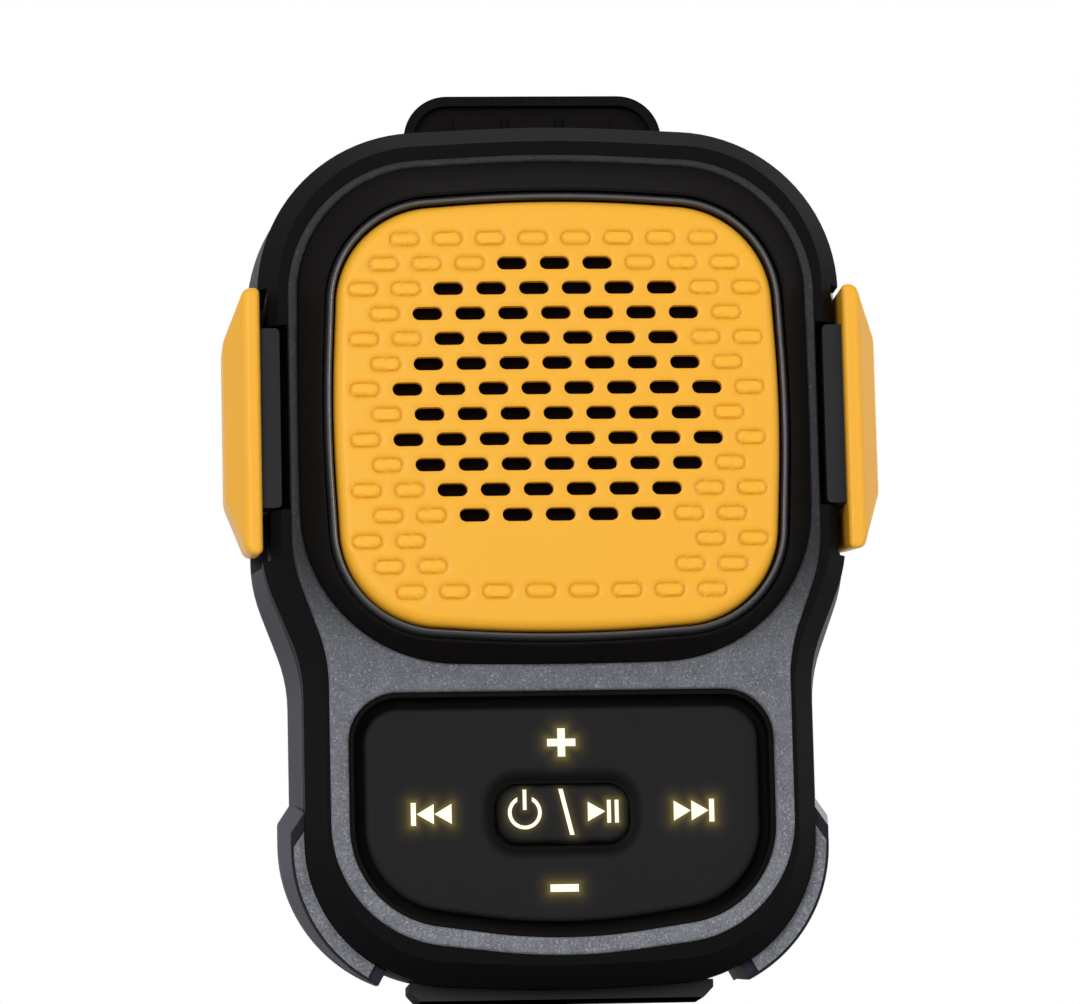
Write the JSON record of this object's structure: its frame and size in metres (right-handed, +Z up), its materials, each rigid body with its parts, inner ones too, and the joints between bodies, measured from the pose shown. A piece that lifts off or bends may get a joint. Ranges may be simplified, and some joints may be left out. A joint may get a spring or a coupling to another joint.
{
  "type": "clip-on bluetooth speaker",
  "caption": "Pocket bluetooth speaker with a pillow-shaped slotted grille, a four-way rocker keypad, squeeze pads at its sides and a sprung magnetic clip behind.",
  "frame": {"origin": "middle of the bounding box's bottom: on the foot's underside, halfway across the width and the depth", "axes": "+X to the right seen from the front, +Y from the grille to the clip, +Z up; the grille faces -Y"},
  "size_m": [0.0728, 0.03, 0.1045],
  "materials": {
    "yellow_plastic": "satin moulded plastic",
    "flake_grey": "charcoal paint with fine metal flakes",
    "black_bumper": "satin black rubber",
    "black_plastic": "satin black plastic",
    "keypad_rubber": "satin black keypad rubber",
    "lit_icon": "translucent, lit from behind",
    "rail_grey": "textured charcoal plastic",
    "guard_grey": "smooth violet-grey rubber",
    "housing_grey": "matt grey plastic",
    "foot_rubber": "matt black rubber",
    "inner_plastic": "plain dark plastic",
    "screen_fabric": "fine dark mesh",
    "cone_paper": "coated paper",
    "soft_rubber": "soft black rubber",
    "spider_fabric": "resin-stiffened cloth",
    "coil_copper": "lacquered copper wire",
    "plated_steel": "zinc-plated steel",
    "black_steel": "black painted steel",
    "ferrite": "dark sintered ferrite",
    "nickel_magnet": "nickel-plated magnet",
    "circuit_board": "green solder mask",
    "switch_plastic": "black switch plastic",
    "light_resin": "cream lamp resin",
    "battery_foil": "dull foil pouch",
    "foam": "black foam",
    "lead_sleeve": "red insulation"
  },
  "bodies": {
    "speaker_body": {"grille": "yellow_plastic", "trim_ring": "flake_grey", "speaker_bezel": "black_plastic", "dust_screen": "screen_fabric", "front_frame": "flake_grey", "front_bumper": "black_bumper", "inner_chassis": "inner_plastic", "rear_housing": "housing_grey", "housing_gasket": "soft_rubber", "keypad_tray": "black_plastic", "keypad_board": "circuit_board", "tact_switches": "switch_plastic", "keypad_lights": "light_resin", "driver_basket": "black_steel", "driver_surround": "soft_rubber", "driver_spider": "spider_fabric", "top_plate": "plated_steel", "driver_magnet": "ferrite", "driver_yoke": "plated_steel", "driver_gasket": "foam", "terminal_block": "inner_plastic", "pad_springs_right": "plated_steel", "pad_springs_left": "plated_steel", "corner_guard_right": "guard_grey", "corner_guard_left": "guard_grey", "guard_inlay_right": "flake_grey", "guard_inlay_left": "flake_grey", "base_foot": "foot_rubber", "port_pin": "plated_steel", "usb_c_socket": "plated_steel", "charge_board": "circuit_board", "battery": "battery_foil", "battery_tape": "foam", "speaker_leads": "lead_sleeve", "battery_leads": "lead_sleeve", "clip_base": "black_plastic", "clip_pin": "plated_steel", "clip_spring": "plated_steel", "housing_screws": "black_steel", "clip_screws": "black_steel"},
    "cone": {"driver_cone": "cone_paper", "dust_cap": "cone_paper", "voice_coil": "coil_copper"},
    "rocker_gimbal": {"rocker_ring": "inner_plastic"},
    "rocker": {"rocker_pad": "keypad_rubber", "rocker_icons": "lit_icon", "key_seal": "keypad_rubber"},
    "centre_button": {"centre_key": "keypad_rubber", "key_icons": "lit_icon"},
    "right_pad": {"side_pad_right": "yellow_plastic", "side_rail_right": "rail_grey"},
    "left_pad": {"side_pad_left": "yellow_plastic", "side_rail_left": "rail_grey"},
    "clip": {"clip_arm": "black_plastic", "clip_magnets": "nickel_magnet", "magnet_pad": "soft_rubber", "jaw_pad": "soft_rubber"},
    "cover": {"port_cover": "foot_rubber"}
  },
  "joints": [
    {"name": "cone_stroke", "type": "slide", "parent": "speaker_body", "child": "cone", "axis": [0, 1, 0], "range_m": [-0.001, 0.001], "stiffness_N_per_m": 1500, "deforming": ["driver_surround", "driver_spider"]},
    {"name": "rocker_nod", "type": "hinge", "parent": "speaker_body", "child": "rocker_gimbal", "pos_m": [0, -0.0062, 0.0198], "axis": [1, 0, 0], "range_deg": [-1.8, 1.8], "stiffness_Nm_per_rad": 0.42},
    {"name": "rocker_turn", "type": "hinge", "parent": "rocker_gimbal", "child": "rocker", "pos_m": [0, -0.0062, 0.0198], "axis": [0, 0, 1], "range_deg": [-1.3, 1.3], "stiffness_Nm_per_rad": 1.05},
    {"name": "centre_button_press", "type": "slide", "parent": "rocker", "child": "centre_button", "axis": [0, 1, 0], "range_m": [0, 0.00035], "stiffness_N_per_m": 4500, "springref_m": -0.0001},
    {"name": "right_pad_squeeze", "type": "slide", "parent": "speaker_body", "child": "right_pad", "axis": [-1, 0, 0], "range_m": [0, 0.0008], "stiffness_N_per_m": 2500, "springref_m": -0.0008, "deforming": ["pad_springs_right"]},
    {"name": "left_pad_squeeze", "type": "slide", "parent": "speaker_body", "child": "left_pad", "axis": [1, 0, 0], "range_m": [0, 0.0008], "stiffness_N_per_m": 2500, "springref_m": -0.0008, "deforming": ["pad_springs_left"]},
    {"name": "clip_pivot", "type": "hinge", "parent": "speaker_body", "child": "clip", "pos_m": [0, 0.01, 0.0802], "axis": [1, 0, 0], "range_deg": [0, 10], "stiffness_Nm_per_rad": 0.6, "springref_deg": -20.05, "deforming": ["clip_spring"]},
    {"name": "port_cover_hinge", "type": "hinge", "parent": "speaker_body", "child": "cover", "pos_m": [0, 0.0042, 0.001], "axis": [1, 0, 0], "range_deg": [0, 100], "stiffness_Nm_per_rad": 0.001, "springref_deg": -5.73}
  ]
}
